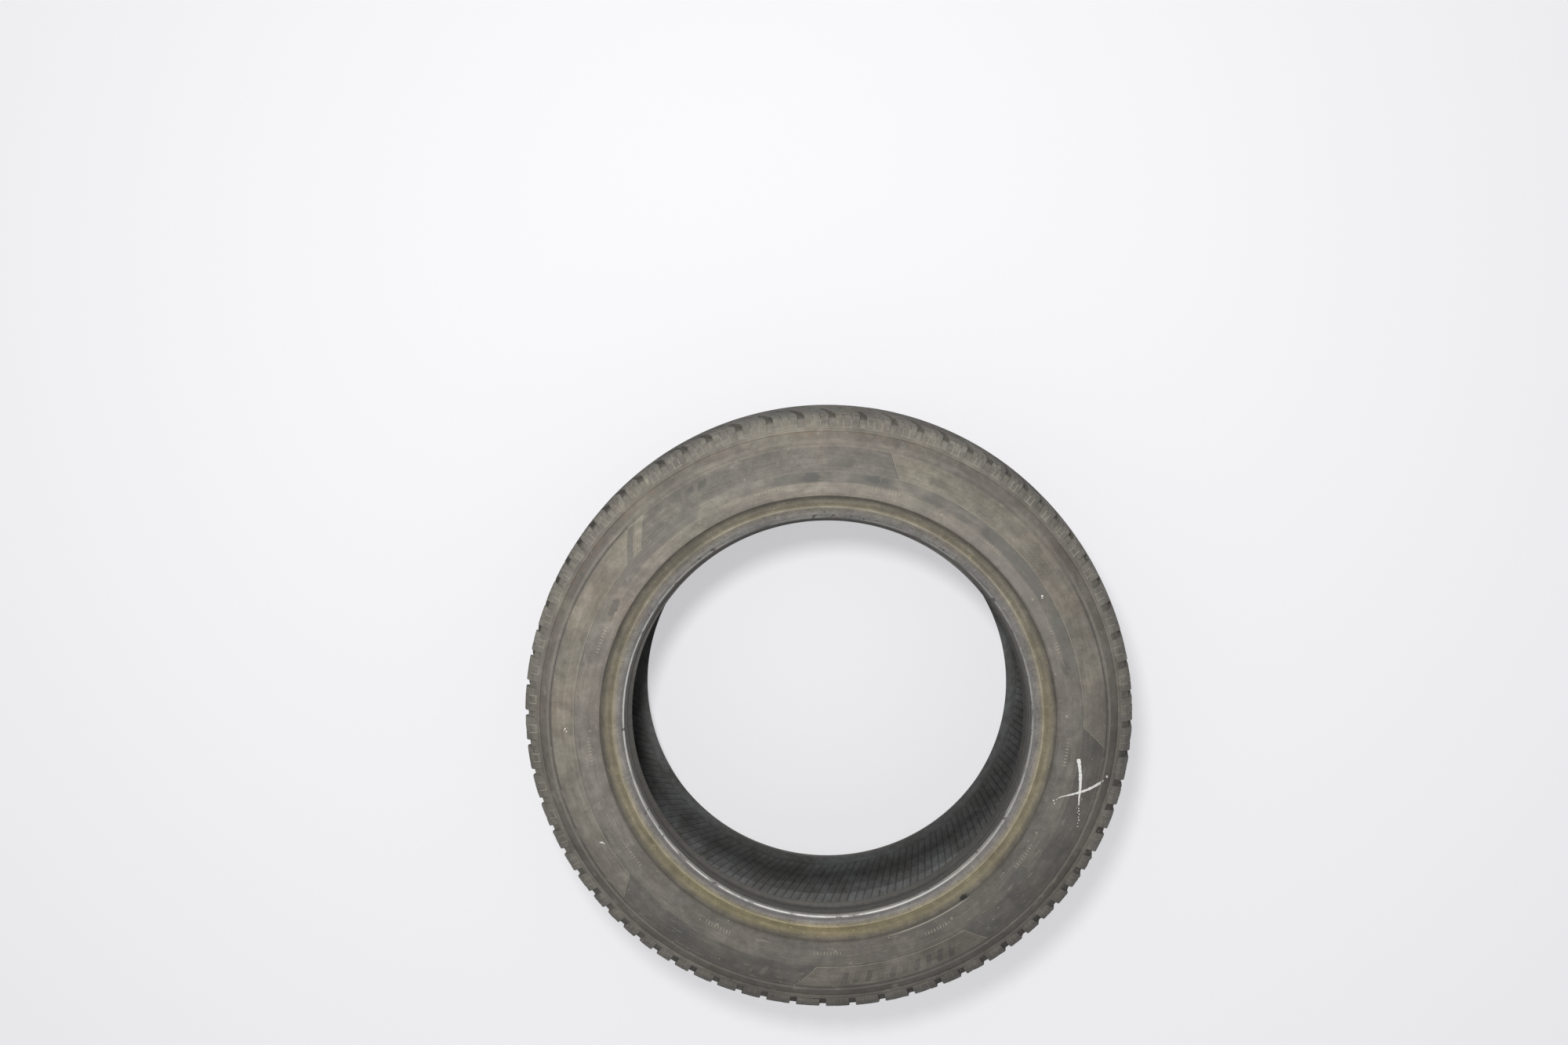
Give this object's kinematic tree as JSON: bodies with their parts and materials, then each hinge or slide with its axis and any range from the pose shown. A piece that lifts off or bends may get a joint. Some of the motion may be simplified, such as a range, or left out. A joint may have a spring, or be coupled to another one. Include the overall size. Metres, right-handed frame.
{
  "type": "tyre",
  "caption": "Worn directional winter tyre with a stepped sidewall, rim guard and open bead hole, lying flat on its side.",
  "frame": {"origin": "on the wheel axis, in the plane that the lower sidewall rests on", "axes": "+Z along the wheel axis, up through the outboard side; +Y and +X across the tyre"},
  "size_m": [0.6219, 0.622, 0.206],
  "materials": {
    "tyre": "dusty, weathered rubber with shiny worn bead edges"
  },
  "bodies": {
    "root": {"tyre": "tyre"}
  },
  "joints": []
}
